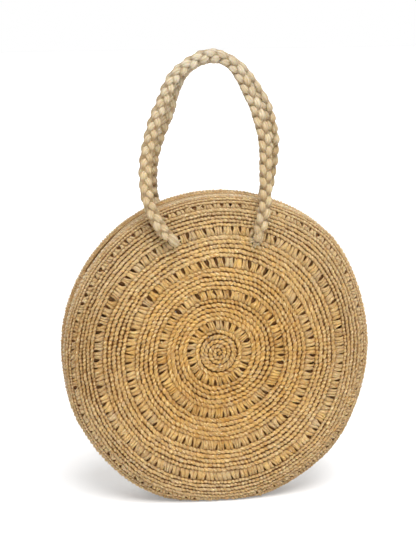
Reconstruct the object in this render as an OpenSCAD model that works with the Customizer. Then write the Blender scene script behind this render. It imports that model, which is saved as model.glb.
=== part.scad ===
// Round crocheted raffia bag, standing on its short flat base
// X runs across the bag, the front faces -Y, Z is up and zero is the middle of the base

/* [Bag] */
// Width across the round bag
bag_width = 384; // [304:5:464]
// Depth of the bag at the edge of its face
edge_depth = 84; // [72:1:104]
// Swell of each face beyond that edge
crown = 2; // [1:0.5:8]
// Radius of the rounded shoulder between a face and the rim
shoulder = 22; // [18:1:26]
// Thickness of the crocheted fabric
fabric = 4.5; // [3:0.5:6]
// Length of the flat that the bag stands on
base_length = 64; // [40:2:110]

/* [Crochet] */
// Height of one plain row of stitches
row_height = 5.4; // [4.6:0.1:6]
// Plain rows in the middle disc
centre_rows = 5; // [4:1:6]
// Plain rows between two openwork rows
plain_rows = 5; // [4:1:5]
// Number of openwork rows on each face
openwork_rows = 5; // [2:1:5]
// Height of one openwork row
openwork_height = 11; // [9:0.5:13]
// Gap in an openwork row, measured outward
hole_length = 7.5; // [5:0.5:8.5]
// Gap in an openwork row, measured along the row
hole_width = 4.2; // [3:0.2:5]
// Distance from one gap to the next along the innermost openwork row
cluster_pitch = 9.3; // [8.5:0.1:12]
// Growth of that distance from one openwork row to the next one outward
cluster_growth = 0.55; // [0:0.05:0.8]
// Width of the joining row between a face and the side band
joining_width = 3; // [2:0.5:4]
// Height of the joining row above the fabric
joining_ridge = 0.9; // [0.4:0.1:1.5]

/* [Zip] */
// Angle that the zip opening spans over the top
zip_span = 116; // [80:2:130]
// Width of the slot between the two top bands
slot_width = 16; // [12:0.5:18]
// Width of each zip tape
tape_width = 12; // [10:0.5:13]
// Thickness of the zip tape
tape_thickness = 0.8; // [0.6:0.1:1]
// Width of one coil of the zip
coil_width = 2.4; // [2:0.1:2.8]
// Height of the coil on its tape
coil_height = 2.2; // [1.8:0.1:2.4]
// Length of the slider along the zip
slider_length = 10.4; // [8:0.2:13]
// Thickness of the slider's plates
slider_plate = 1.2; // [1:0.1:1.4]
// Length of the pull from its pin
pull_length = 25; // [18:1:34]
// Width of the pull
pull_width = 8; // [6:0.5:10]
// Thickness of the pull
pull_thickness = 1.6; // [1.2:0.1:2]

/* [Handles] */
// Distance between the two ends of a handle
handle_span = 100; // [90:1:120]
// Height of the top of a handle above its sewn ends
handle_rise = 219; // [190:1:270]
// Distance that the front handle is sewn on to the right of the middle
front_handle_shift = -6.5; // [-9:0.5:9]
// Distance that the back handle is sewn on to the right of the middle
back_handle_shift = 3; // [-9:0.5:9]
// Sideways swing of the strands in the plait
plait_swing = 5.2; // [4.9:0.05:5.6]
// Swing of the strands through the plait's thickness
plait_lift = 3.7; // [3.6:0.05:4.1]
// Half width of one strand
strand_half_width = 2.75; // [2:0.05:2.8]
// Half thickness of one strand
strand_half_thickness = 2.55; // [2:0.05:2.6]
// Length of plait in which a strand comes back to its side
plait_period = 44.6; // [36:0.2:54]
// Radius of the bound end of a plait
binding_radius = 7.2; // [6:0.2:8]
// Length of the bound end of a plait
binding_length = 12; // [10:0.5:16]
// Radius of the plait's tail where it goes through the fabric
tail_radius = 3.2; // [2.4:0.1:3.6]
// Radius of the knot on the inside
knot_radius = 7.5; // [6:0.5:9]

/* [Hidden] */
$fn = 180;

raffia = "burlywood";
pale_raffia = "wheat";
tape_colour = "tan";
coil_colour = "peru";
metal = "goldenrod";

// Overrun of every cut past the face that it opens
overrun = 1;
// Gap between pieces that move past each other
running_gap = 0.3;
// Gap between a handle's bound end and the fabric
root_gap = 0.4;
// Gap between the two handles where they lean together
handle_gap = 0.6;
// Gap round a tail in its hole
tail_gap = 0.15;

bag_radius = bag_width / 2;
centre_height = sqrt(bag_radius * bag_radius - base_length * base_length / 4);
half_edge = edge_depth / 2;
half_side = half_edge - shoulder;
shoulder_start = bag_radius - shoulder;
cutter_side = 2 * bag_width;

// Facets of the face's swell and of its shoulder
crown_steps = 8;
shoulder_steps = 9;

first_openwork = (centre_rows + 1 / 4) * row_height + openwork_height / 2;
openwork_pitch = plain_rows * row_height + openwork_height;

// Front of the face at a distance out from the middle
function face_at(out) = half_edge + crown * (1 - pow(out / shoulder_start, 2));

// Turn of the shoulder at a distance measured along the fabric, nought on the face
function turn_at(along) = max(0, (along - shoulder_start) / shoulder * 180 / PI);
function out_at(along) = along < shoulder_start ? along : shoulder_start + shoulder * sin(turn_at(along));
function front_at(along) = along < shoulder_start ? face_at(along) : half_side + shoulder * cos(turn_at(along));

// Places of the handles' ends
root_height_share = 0.76;
root_height = root_height_share * bag_radius;
pivot_depth = face_at(openwork_along(3)) + binding_radius + root_gap;
pivot_height = centre_height + root_height;
function openwork_along(row) = first_openwork + row * openwork_pitch;
function root_across(side, shift) = shift + side * handle_span / 2;

// Turns the round bag's own space, with its axis along Z, to stand on its rim
module standing() {
    translate([0, 0, centre_height]) rotate([90, 0, 0]) children();
}

module mirrored_back() {
    mirror([0, 1, 0]) children();
}

// Everything above a level, in the round bag's own space
module above(level) {
    translate([-cutter_side / 2, level - centre_height, -cutter_side / 2])
        cube([cutter_side, cutter_side, cutter_side]);
}

// Round outline with its short flat base, drawn in by a margin
module outline(margin) {
    intersection() {
        circle(r = bag_radius - margin);
        translate([-cutter_side / 2, max(margin, 0) - centre_height]) square([cutter_side, cutter_side]);
    }
}

module rim_outline(ridge) {
    difference() {
        outline(-ridge);
        outline(fabric);
    }
}

// Wedge of the round outline between two angles less than half a turn apart
module wedge(from, to) {
    middle = (from + to) / 2;
    reach = cutter_side / 2;
    polygon([
        [0, 0],
        [reach * cos(from), reach * sin(from)],
        [2 * reach * cos(middle), 2 * reach * sin(middle)],
        [reach * cos(to), reach * sin(to)]
    ]);
}

// Section of a face inside its shoulder
face_section = concat(
    [for (step = [0 : crown_steps])
        let (out = shoulder_start * step / crown_steps)
        [out, face_at(out)]],
    [for (step = [crown_steps : -1 : 0])
        let (out = shoulder_start * step / crown_steps)
        [out, face_at(out) - fabric]]
);

module shoulder_shape(margin, depth_below) {
    intersection() {
        rotate_extrude() polygon(concat(
            [for (step = [0 : shoulder_steps])
                let (turn = 90 * step / shoulder_steps)
                [shoulder_start + (shoulder - margin) * sin(turn), half_side + (shoulder - margin) * cos(turn)]],
            [[bag_radius - margin, half_side - depth_below], [shoulder_start, half_side - depth_below]]
        ));
        above(margin);
    }
}

// Fabric left between a gap and the flat base
base_margin = 1;

// One round of gaps in the fabric, left out round the handles' ends and on the flat base
module openwork(row, shift) {
    along = openwork_along(row);
    out = out_at(along);
    count = round(2 * PI * out / (cluster_pitch + row * cluster_growth));
    lowest = out_at(along + hole_length / 2);
    for (index = [0 : count - 1]) {
        angle = 360 * (index + 1 / 2) / count;
        across = out * cos(angle);
        height = out * sin(angle);
        at_root = min([for (side = [-1, 1])
            norm([across - root_across(side, shift), height - root_height])]);
        on_base = -lowest * sin(angle) > centre_height - base_margin;
        if (at_root > tail_radius + hole_length && !on_base) {
            rotate([0, 0, angle]) translate([out, 0, front_at(along) - fabric / 2])
                rotate([0, turn_at(along), 0])
                cube([hole_length, hole_width, 3 * fabric], center = true);
        }
    }
}

module tail_holes(shift) {
    for (side = [-1, 1]) {
        translate([root_across(side, shift), root_height, half_edge - 2 * fabric])
            cylinder(r = tail_radius + tail_gap, h = 4 * fabric);
    }
}

module face(shift) {
    standing() difference() {
        rotate_extrude() polygon(face_section);
        for (row = [0 : openwork_rows - 1]) {
            if (openwork_along(row) - hole_length < shoulder_start) openwork(row, shift);
        }
        tail_holes(shift);
    }
}

// Outer rows of the face's fabric, which turn over toward the side band
module shoulder_ring(shift) {
    standing() difference() {
        shoulder_shape(0, 0);
        shoulder_shape(fabric, overrun);
        translate([0, 0, half_side - 2 * overrun]) cylinder(r = shoulder_start, h = half_edge);
        for (row = [0 : openwork_rows - 1]) {
            if (openwork_along(row) + hole_length > shoulder_start) openwork(row, shift);
        }
    }
}

module front_face() {
    color(raffia) face(front_handle_shift);
}

module back_face() {
    color(raffia) mirrored_back() face(back_handle_shift);
}

module front_shoulder() {
    color(raffia) shoulder_ring(front_handle_shift);
}

module back_shoulder() {
    color(raffia) mirrored_back() shoulder_ring(back_handle_shift);
}

side_half = half_side - joining_width;
zip_from = 90 - zip_span / 2;
zip_to = 90 + zip_span / 2;

module joining_row() {
    standing() translate([0, 0, side_half])
        linear_extrude(joining_width) rim_outline(joining_ridge);
}

module front_joining_row() {
    color(pale_raffia) joining_row();
}

module back_joining_row() {
    color(pale_raffia) mirrored_back() joining_row();
}

module gusset() {
    color(raffia) standing() translate([0, 0, -side_half]) linear_extrude(2 * side_half) difference() {
        rim_outline(0);
        wedge(zip_from, zip_to);
    }
}

module top_band() {
    standing() translate([0, 0, slot_width / 2])
        linear_extrude(side_half - slot_width / 2) intersection() {
            rim_outline(0);
            wedge(zip_from, zip_to);
        }
}

module front_top_band() {
    color(raffia) top_band();
}

module back_top_band() {
    color(raffia) mirrored_back() top_band();
}

// Half width of the slider's post between the coils
post_half = 0.45;
// Cover of tape past the end of the slot, as an angle
tape_tuck = 4;
// Length of bare tape at each end of the coils, as an angle
end_margin = 3;
// Length of an end stop, as an angle
stop_turn = 1.3;
coil_inner = post_half + running_gap;
coil_outer = coil_inner + coil_width;
tape_outer_radius = bag_radius - fabric;
tape_inner_radius = tape_outer_radius - tape_thickness;
coil_radius = tape_outer_radius + coil_height;
coil_from = zip_from + end_margin;
coil_to = zip_to - end_margin;

// Revolves a section, given as radius and depth, between two angles
module arc_piece(from, to) {
    standing() rotate([0, 0, from]) rotate_extrude(angle = to - from) children();
}

module zip_tape() {
    arc_piece(zip_from - tape_tuck, zip_to + tape_tuck)
        translate([tape_inner_radius, coil_inner + running_gap]) square([tape_thickness, tape_width]);
}

module front_zip_tape() {
    color(tape_colour) zip_tape();
}

module back_zip_tape() {
    color(tape_colour) mirrored_back() zip_tape();
}

// Coil section with its outer corners taken off
coil_bevel = coil_height / 4;
module zip_coil() {
    arc_piece(coil_from, coil_to) polygon([
        [tape_outer_radius, coil_inner],
        [coil_radius - coil_bevel, coil_inner],
        [coil_radius, coil_inner + coil_bevel],
        [coil_radius, coil_outer - coil_bevel],
        [coil_radius - coil_bevel, coil_outer],
        [tape_outer_radius, coil_outer]
    ]);
}

module front_zip_coil() {
    color(coil_colour) zip_coil();
}

module back_zip_coil() {
    color(coil_colour) mirrored_back() zip_coil();
}

module top_stop() {
    arc_piece(coil_from - stop_turn, coil_from)
        translate([tape_outer_radius, coil_inner]) square([coil_height, coil_width]);
}

module zip_top_stops() {
    color(metal) {
        top_stop();
        mirrored_back() top_stop();
    }
}

module zip_bottom_stop() {
    color(metal) arc_piece(coil_to, coil_to + stop_turn)
        translate([tape_outer_radius, -coil_outer]) square([coil_height, 2 * coil_outer]);
}

slider_turn = slider_length / coil_radius * 180 / PI;
slider_from = coil_from + running_gap / coil_radius * 180 / PI;
slider_middle = slider_from + slider_turn / 2;
flange = slider_plate;
slider_half = coil_outer + running_gap + flange;
top_plate_inner = coil_radius + running_gap;
top_plate_outer = top_plate_inner + slider_plate;
bottom_plate_outer = tape_inner_radius - running_gap;
bottom_plate_inner = bottom_plate_outer - slider_plate;

// The pull's pin and the ears that hold it
pin_radius = 0.8;
pin_gap = 0.3;
eye_wall = 0.9;
eye_radius = pin_radius + pin_gap + eye_wall;
pin_lift = eye_radius + running_gap;
pin_at = top_plate_outer + pin_lift;
neck_half = 1.3;
ear = 1;
ear_half = 2.2;
ear_outer = neck_half + running_gap + ear;

module slider_section() {
    union() {
        translate([top_plate_inner, -slider_half]) square([slider_plate, 2 * slider_half]);
        translate([bottom_plate_inner, -slider_half]) square([slider_plate, 2 * slider_half]);
        for (side = [-1, 1]) {
            translate([tape_outer_radius + running_gap, side * (slider_half - flange / 2) - flange / 2])
                square([top_plate_outer - tape_outer_radius - running_gap, flange]);
        }
    }
}

// Places children at the slider's middle, with X outward and Z toward the front
module at_slider() {
    standing() rotate([0, 0, slider_middle]) children();
}

module zip_slider() {
    color(metal) {
        arc_piece(slider_from, slider_from + slider_turn) slider_section();
        arc_piece(slider_from + slider_turn / 2, slider_from + slider_turn)
            translate([bottom_plate_outer - slider_plate / 2, -post_half])
            square([top_plate_inner - bottom_plate_outer + slider_plate, 2 * post_half]);
        at_slider() {
            for (side = [-1, 1]) {
                translate([0, 0, side * (neck_half + running_gap + ear / 2) - ear / 2])
                    linear_extrude(ear) union() {
                        translate([top_plate_outer - slider_plate / 2, -ear_half])
                            square([pin_lift + slider_plate / 2, 2 * ear_half]);
                        translate([pin_at, 0]) circle(r = ear_half, $fn = 48);
                    }
            }
            translate([pin_at, 0, -ear_outer]) cylinder(r = pin_radius, h = 2 * ear_outer, $fn = 48);
        }
    }
}

// Where the pull widens, measured from its pin
pull_shoulder = 4;
pull_hole_width = 3.4;
pull_hole_length = 8;

module pull_outline() {
    end = pull_length - pull_width / 2;
    difference() {
        union() {
            translate([-neck_half, -pull_shoulder - neck_half]) square([2 * neck_half, pull_shoulder + neck_half]);
            hull() {
                translate([0, -pull_shoulder - pull_width / 4]) circle(r = pull_width / 4, $fn = 32);
                translate([0, -end]) circle(r = pull_width / 2, $fn = 32);
            }
        }
        hull() {
            translate([0, -end]) circle(r = pull_hole_width / 2, $fn = 32);
            translate([0, pull_hole_length - pull_hole_width - end]) circle(r = pull_hole_width / 2, $fn = 32);
        }
    }
}

module zip_pull() {
    color(metal) at_slider() difference() {
        union() {
            translate([pin_at + pull_thickness / 2, 0, 0]) rotate([0, -90, 0])
                linear_extrude(pull_thickness) pull_outline();
            translate([pin_at, 0, -neck_half]) cylinder(r = eye_radius, h = 2 * neck_half, $fn = 48);
        }
        translate([pin_at, 0, -neck_half - overrun])
            cylinder(r = pin_radius + pin_gap, h = 2 * (neck_half + overrun), $fn = 48);
    }
}

// Route of a handle: share of the span across, share of the rise, share of the lean inward
front_route_shares = [
    [-0.737, 0.171, 0.02], [-0.805, 0.30, 0.18], [-0.80, 0.45, 0.43], [-0.738, 0.59, 0.66],
    [-0.645, 0.70, 0.813], [-0.53, 0.825, 0.915], [-0.385, 0.912, 0.962],
    [-0.155, 0.983, 0.99], [0.03, 1, 1], [0.215, 0.970, 0.985],
    [0.365, 0.903, 0.96], [0.487, 0.797, 0.89], [0.576, 0.70, 0.805],
    [0.648, 0.5397, 0.58], [0.643, 0.384, 0.32], [0.61, 0.235, 0.10]
];
back_route_shares = [
    [-0.68, 0.2237, 0.08], [-0.74, 0.397, 0.345], [-0.712, 0.54, 0.58], [-0.63, 0.68, 0.775],
    [-0.557, 0.81, 0.89], [-0.432, 0.908, 0.96], [-0.23, 0.97, 0.985], [-0.02, 0.983, 1],
    [0.15, 0.962, 0.985], [0.32, 0.895, 0.96], [0.51, 0.765, 0.865],
    [0.68, 0.603, 0.67], [0.755, 0.429, 0.40], [0.71, 0.233, 0.10]
];
// Outward flare of each sewn end, left and right
front_flare = [38, 15];
back_flare = [27, 27];
// Straight stretch of plait past its bound end
straight_run = 8;

lean_reach = pivot_depth - plait_lift - strand_half_thickness - handle_gap / 2;

function pivot_point(side, shift) = [root_across(side, shift), -pivot_depth, pivot_height];
function root_direction(side, flare) = [side * sin(flare), 0, cos(flare)];
function route_point(share, shift) = [
    shift + share[0] * handle_span,
    share[2] * lean_reach - pivot_depth,
    pivot_height + share[1] * handle_rise
];
function route(shares, flares, shift) = concat(
    [for (length = [0, binding_length, binding_length + straight_run])
        pivot_point(-1, shift) + length * root_direction(-1, flares[0])],
    [for (share = shares) route_point(share, shift)],
    [for (length = [binding_length + straight_run, binding_length, 0])
        pivot_point(1, shift) + length * root_direction(1, flares[1])]
);

// Smooth curve through the route's points
function blend_point(a, b, c, d, t) = 0.5 * (
    2 * b + (c - a) * t + (2 * a - 5 * b + 4 * c - d) * t * t + (3 * b - a - 3 * c + d) * t * t * t
);
smooth_steps = 6;
function smooth_line(points) = [
    for (index = [1 : len(points) - 3], step = [0 : smooth_steps - (index < len(points) - 3 ? 1 : 0)])
        blend_point(points[index - 1], points[index], points[index + 1], points[index + 2], step / smooth_steps)
];
function running_lengths(line, index = 0, total = 0) = index == len(line) - 1
    ? [total]
    : concat([total], running_lengths(line, index + 1, total + norm(line[index + 1] - line[index])));
function unit(vector) = vector / norm(vector);

// Rings and sides of one strand
rings_per_period = 9;
strand_sides = 6;
// Phase of the plait where it leaves its bound end
first_phase = 30;

module strand(points, offset) {
    line = smooth_line(points);
    lengths = running_lengths(line);
    total = lengths[len(lengths) - 1];
    table = [for (axis = [0 : 2]) [for (index = [0 : len(line) - 1]) [lengths[index], line[index][axis]]]];
    rings = round(total / plait_period * rings_per_period);
    probe = total / rings / 4;
    rings_points = [
        for (ring = [0 : rings])
            let (
                along = total * ring / rings,
                before = max(0, along - probe),
                after = min(total, along + probe),
                here = [for (axis = [0 : 2]) lookup(along, table[axis])],
                near = [for (axis = [0 : 2]) lookup(before, table[axis])],
                far = [for (axis = [0 : 2]) lookup(after, table[axis])],
                tangent = ring == 0 ? unit(points[1] - points[0])
                    : ring == rings ? unit(points[len(points) - 1] - points[len(points) - 2])
                    : unit(far - near),
                across = unit(cross(tangent, [0, 1, 0])),
                through = cross(across, tangent),
                phase = first_phase + offset + 360 * along / plait_period,
                middle = here + plait_swing * sin(phase) * across + plait_lift * sin(2 * phase) * through
            )
            for (side = [0 : strand_sides - 1])
                let (turn = 360 * side / strand_sides)
                middle + strand_half_width * cos(turn) * across + strand_half_thickness * sin(turn) * through
    ];
    faces = concat(
        [for (side = [1 : strand_sides - 2]) [0, side, side + 1]],
        [for (ring = [0 : rings - 1], side = [0 : strand_sides - 1])
            let (next = (side + 1) % strand_sides)
            each [
                [ring * strand_sides + side, (ring + 1) * strand_sides + side, (ring + 1) * strand_sides + next],
                [ring * strand_sides + side, (ring + 1) * strand_sides + next, ring * strand_sides + next]
            ]],
        [for (side = [1 : strand_sides - 2])
            [rings * strand_sides, rings * strand_sides + side + 1, rings * strand_sides + side]]
    );
    polyhedron(points = rings_points, faces = faces, convexity = 10);
}

front_route = route(front_route_shares, front_flare, front_handle_shift);
back_route = route(back_route_shares, back_flare, back_handle_shift);

module front_handle_strand_a() {
    color(pale_raffia) strand(front_route, 0);
}

module front_handle_strand_b() {
    color(pale_raffia) strand(front_route, 120);
}

module front_handle_strand_c() {
    color(pale_raffia) strand(front_route, 240);
}

module back_handle_strand_a() {
    color(pale_raffia) mirrored_back() strand(back_route, 0);
}

module back_handle_strand_b() {
    color(pale_raffia) mirrored_back() strand(back_route, 120);
}

module back_handle_strand_c() {
    color(pale_raffia) mirrored_back() strand(back_route, 240);
}

// Turns of raffia round the bound end, and the depth of the groove between them
binding_turns = 5;
binding_groove = 0.5;
// Stretch of each turn that bulges full out, as shares of its width
turn_bulge_shares = [0.3, 0.7];
round_steps = 6;

module binding(side, shift, flare) {
    pitch = binding_length / binding_turns;
    translate(pivot_point(side, shift)) rotate([0, side * flare, 0]) rotate_extrude($fn = 48) polygon(concat(
        [for (step = [0 : round_steps - 1])
            let (turn = 90 * step / round_steps)
            [binding_radius * sin(turn), -binding_radius * cos(turn)]],
        [for (turn = [0 : binding_turns - 1]) each [
            [binding_radius - binding_groove, turn * pitch],
            [binding_radius, (turn + turn_bulge_shares[0]) * pitch],
            [binding_radius, (turn + turn_bulge_shares[1]) * pitch]
        ]],
        [[binding_radius - binding_groove, binding_length], [0, binding_length]]
    ));
}

module front_left_binding() {
    color(pale_raffia) binding(-1, front_handle_shift, front_flare[0]);
}

module front_right_binding() {
    color(pale_raffia) binding(1, front_handle_shift, front_flare[1]);
}

module back_left_binding() {
    color(pale_raffia) mirrored_back() binding(-1, back_handle_shift, back_flare[0]);
}

module back_right_binding() {
    color(pale_raffia) mirrored_back() binding(1, back_handle_shift, back_flare[1]);
}

// Tail through the fabric, the knot behind it and the cut end that hangs from the knot
module knot(side, shift) {
    root_out = norm([root_across(side, shift), root_height]);
    face = face_at(root_out);
    knot_at = face - fabric - root_gap - knot_radius;
    tuft = knot_radius;
    translate([root_across(side, shift), 0, pivot_height]) {
        translate([0, -face, 0]) rotate([-90, 0, 0]) cylinder(r = tail_radius, h = face - knot_at, $fn = 48);
        translate([0, -knot_at, 0]) sphere(r = knot_radius, $fn = 48);
        translate([0, -knot_at, -knot_radius - tuft]) cylinder(r1 = tail_radius, r2 = tail_radius / 2, h = 2 * tuft, $fn = 48);
    }
}

module front_left_knot() {
    color(pale_raffia) knot(-1, front_handle_shift);
}

module front_right_knot() {
    color(pale_raffia) knot(1, front_handle_shift);
}

module back_left_knot() {
    color(pale_raffia) mirrored_back() knot(-1, back_handle_shift);
}

module back_right_knot() {
    color(pale_raffia) mirrored_back() knot(1, back_handle_shift);
}

front_face();
back_face();
front_shoulder();
back_shoulder();
gusset();
front_joining_row();
back_joining_row();
front_top_band();
back_top_band();
front_zip_tape();
back_zip_tape();
front_zip_coil();
back_zip_coil();
zip_top_stops();
zip_bottom_stop();
zip_slider();
zip_pull();
front_handle_strand_a();
front_handle_strand_b();
front_handle_strand_c();
back_handle_strand_a();
back_handle_strand_b();
back_handle_strand_c();
front_left_binding();
front_right_binding();
back_left_binding();
back_right_binding();
front_left_knot();
front_right_knot();
back_left_knot();
back_right_knot();
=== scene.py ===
"""Round crocheted raffia bag with openwork rings, a zipped top and two plaited handles"""
import math
import bpy
import numpy as np
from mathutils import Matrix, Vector


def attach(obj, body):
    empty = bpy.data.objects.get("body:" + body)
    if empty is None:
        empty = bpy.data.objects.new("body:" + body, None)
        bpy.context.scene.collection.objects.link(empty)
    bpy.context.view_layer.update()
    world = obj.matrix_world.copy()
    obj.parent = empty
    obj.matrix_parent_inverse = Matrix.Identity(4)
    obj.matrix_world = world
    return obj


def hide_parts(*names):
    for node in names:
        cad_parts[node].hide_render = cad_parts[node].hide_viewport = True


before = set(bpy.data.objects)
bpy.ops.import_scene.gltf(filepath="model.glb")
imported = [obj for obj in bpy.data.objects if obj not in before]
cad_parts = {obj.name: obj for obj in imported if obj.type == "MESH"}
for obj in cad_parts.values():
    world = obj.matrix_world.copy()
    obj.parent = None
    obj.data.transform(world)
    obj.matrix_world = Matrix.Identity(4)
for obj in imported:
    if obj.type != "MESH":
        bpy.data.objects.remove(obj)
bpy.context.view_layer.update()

rng = np.random.default_rng(9714)

# Lengths are in millimetres until a mesh is made
MM = 0.001

# Bag, as in the solids
BAG_RADIUS = 192.0
BASE_LENGTH = 64.0
HALF_EDGE = 42.0
SHOULDER = 22.0
CROWN = 1.2
FABRIC = 4.5
CENTRE_HEIGHT = math.sqrt(BAG_RADIUS ** 2 - BASE_LENGTH ** 2 / 4)
HALF_SIDE = HALF_EDGE - SHOULDER
FACE_REACH = BAG_RADIUS - SHOULDER
FACE_LENGTH = FACE_REACH + SHOULDER * math.pi / 2
SIDES = {"front": -1.0, "back": 1.0}

# Slack of the real crochet: a little taller than wide, and resting on its lower rows
WIDE_SHARE = 190.2 / 192.0
TALL_SHARE = 194.6 / 192.0
MIDDLE_HEIGHT = 192.0
FLOOR_LIFT = 2.7
FLOOR_SOFTNESS = 1.2
# How far the lower rows hang down, and how far below the middle they hang by that much
SAG, SAG_REACH = 5.6, 180.0

# Waves of the outline: number round the bag, height and start
OUTLINE_WAVES = ((2, 0.25, 0.6), (3, 0.5, 2.4), (5, 0.35, 0.4), (7, 0.25, 4.0))
# Swells of the outline: degrees round the bag, spread in degrees and height
LOCAL_SWELLS = ((44, 18, 7.4), (320, 15, 3.2), (201, 9, 2.0), (240, 14, 2.4))

# The real edge is rounder than the solids': flat to here, then a quarter of an ellipse
FLAT_REACH = 154.0
EDGE_REACH = BAG_RADIUS - FLAT_REACH
# The rows as far as the first length are stretched to the second, and those beyond are squeezed
STRETCHED_TO = (147.85, 152.0)

# Rows of stitches
ROW_HEIGHT = 5.4
CENTRE_ROWS = 5
PLAIN_ROWS = 5
OPENWORK_ROWS = 5
OPENWORK_HEIGHT = 11.0
FIRST_OPENWORK = (CENTRE_ROWS + 0.25) * ROW_HEIGHT + OPENWORK_HEIGHT / 2
OPENWORK_PITCH = PLAIN_ROWS * ROW_HEIGHT + OPENWORK_HEIGHT
# Clusters of the first round lie this far apart, and those of each further round by so much more
CLUSTER_PITCH = 9.3
CLUSTER_GROWTH = 0.55
# The round at the rim is flatter and nearly shut, with this many rows beyond it
RIM_HEIGHT_LOSS = 4.0
RIM_ROWS = 3


class Wire:
    """A shader socket that takes part in Python expressions"""

    def __init__(self, finish, socket):
        self.finish, self.socket = finish, socket

    def combine(self, operation, first, second):
        return self.finish.add("ShaderNodeMath", {"operation": operation}, {0: first, 1: second})

    def __add__(self, other):
        return self.combine("ADD", self, other)

    def __sub__(self, other):
        return self.combine("SUBTRACT", self, other)

    def __rsub__(self, other):
        return self.combine("SUBTRACT", other, self)

    def __mul__(self, other):
        return self.combine("MULTIPLY", self, other)

    __radd__ = __add__
    __rmul__ = __mul__


class Finish:
    """A material built from nodes"""

    def __init__(self, name):
        self.material = bpy.data.materials.new(name)
        self.material.use_nodes = True
        self.nodes = self.material.node_tree.nodes
        self.links = self.material.node_tree.links
        self.nodes.clear()

    def add(self, kind, settings=None, inputs=None, output=0):
        """A node of any type, with its settings and then the values or links of its sockets"""
        node = self.nodes.new(kind)
        for key, value in (settings or {}).items():
            setattr(node, key, value)
        for key, value in (inputs or {}).items():
            if isinstance(value, Wire):
                self.links.new(value.socket, node.inputs[key])
            elif isinstance(value, tuple) and node.inputs[key].type == "RGBA":
                node.inputs[key].default_value = (*value, 1.0)
            else:
                node.inputs[key].default_value = value
        return Wire(self, node.outputs[output]) if len(node.outputs) else node

    def value(self, name):
        return self.add("ShaderNodeAttribute", {"attribute_name": name}, output="Fac")

    def vector(self, name):
        return self.add("ShaderNodeAttribute", {"attribute_name": name}, output="Vector")

    def stretch(self, vector, amounts):
        return self.add("ShaderNodeVectorMath", {"operation": "MULTIPLY"}, {0: vector, 1: amounts})

    def noise(self, vector, scale, detail=2.0):
        return self.add("ShaderNodeTexNoise", {}, {"Vector": vector, "Scale": scale, "Detail": detail})

    def bands(self, vector, direction, scale):
        return self.add("ShaderNodeTexWave", {"wave_type": "BANDS", "bands_direction": direction},
                        {"Vector": vector, "Scale": scale, "Distortion": 0.4})

    def mix(self, share, first, second):
        return self.add("ShaderNodeMix", {"data_type": "RGBA", "clamp_factor": True},
                        {0: share, 6: first, 7: second}, output=2)

    def clamp(self, value, low, high):
        return self.add("ShaderNodeClamp", {}, {"Value": value, "Min": low, "Max": high})

    def bump(self, height, strength, distance):
        sockets = {"Height": height, "Strength": strength, "Distance": distance}
        return self.add("ShaderNodeBump", {}, sockets)

    def close(self, **sockets):
        """Ends the material with a Principled shader"""
        values = {key.replace("_", " "): value for key, value in sockets.items()}
        shader = self.add("ShaderNodeBsdfPrincipled", {}, values)
        self.add("ShaderNodeOutputMaterial", {}, {"Surface": shader})
        return self.material


# Share of the light that soaks into the leaf, how far it goes, and how much of each colour goes so far
SOAK, SOAK_DEPTH, SOAK_COLOURS = 0.25, 0.0012, (1.0, 0.4, 0.1)
# How often the leaf's broad shades, its fibres and its hairs change, along a strand and across it
BROAD_GRAIN, FINE_GRAIN, HAIR_GRAIN = (0.06, 0.45, 0.45), (0.19, 1.25, 1.25), (0.3, 5.5, 5.5)
# Dark fibres, and pale fibres that are partly bleached leaf and partly painted sheen: how sharply they
# start, from which value of the fine grain, and their most
DARK_FIBRES = (6.0, 0.49, 0.6)
BLEACHED_AND_SHEEN_FIBRES = (7.5, 0.575, 0.75)


def raffia(name, straw, rosy, deep, dull, crease, bleached_and_sheen, streaks=0.5, relief=0.5):
    """Split palm leaf: long fibres along each strand, tinted stitch by stitch, with painted shade in its
    creases
    """
    finish = Finish(name)
    fibre = finish.vector("fibre")
    broad = finish.noise(finish.stretch(fibre, BROAD_GRAIN), 1.0)
    fine = finish.noise(finish.stretch(fibre, FINE_GRAIN), 1.0, 3.0)
    hair = finish.noise(finish.stretch(fibre, HAIR_GRAIN), 1.0, 1.0)
    tone = finish.value("tint") + 0.38 * (broad - 0.5)
    hue = finish.clamp(finish.value("hue"), 0.0, 1.0)
    colour = finish.mix(hue, straw, rosy)
    shade = finish.mix(hue, deep, dull)
    # Tone mixes towards the deep colour: the leaf's own tone, with the painted light and shade that some
    # tints carry
    colour = finish.mix(finish.clamp(1.0 - tone, 0.0, 1.0), colour, shade)
    sharpness, below, most = DARK_FIBRES
    colour = finish.mix(finish.clamp(streaks * (sharpness * (below - fine)), 0.0, most), colour, shade)
    # Pale fibres: partly bleached leaf, partly painted sheen
    sharpness, above, most = BLEACHED_AND_SHEEN_FIBRES
    colour = finish.mix(finish.clamp(streaks * (sharpness * (fine - above)), 0.0, most), colour, bleached_and_sheen)
    # Painted shade in the creases and on the strands' undersides
    colour = finish.mix(finish.clamp(finish.value("crease"), 0.0, 1.0), colour, crease)
    height = fine + 0.35 * hair + 0.4 * broad
    return finish.close(Base_Color=colour, Roughness=finish.clamp(0.42 + 0.35 * fine, 0.3, 0.9),
                        Specular_IOR_Level=0.3, Subsurface_Weight=SOAK, Subsurface_Radius=SOAK_COLOURS,
                        Subsurface_Scale=SOAK_DEPTH, Normal=finish.bump(height, relief, 0.0008))


def woven_tape(name, light, dark):
    """Weft and warp as two sets of bands, with a speck of uneven yarn"""
    finish = Finish(name)
    fibre = finish.vector("fibre")
    weave = finish.bands(fibre, "X", 0.33) * 0.6 + finish.bands(fibre, "Y", 0.45) * 0.4
    speck = finish.noise(fibre, 0.8)
    colour = finish.mix(finish.clamp(weave * 0.7 + speck * 0.4, 0.0, 1.0), dark, light)
    return finish.close(Base_Color=colour, Roughness=0.85, Normal=finish.bump(weave, 0.5, 0.0004))


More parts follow.
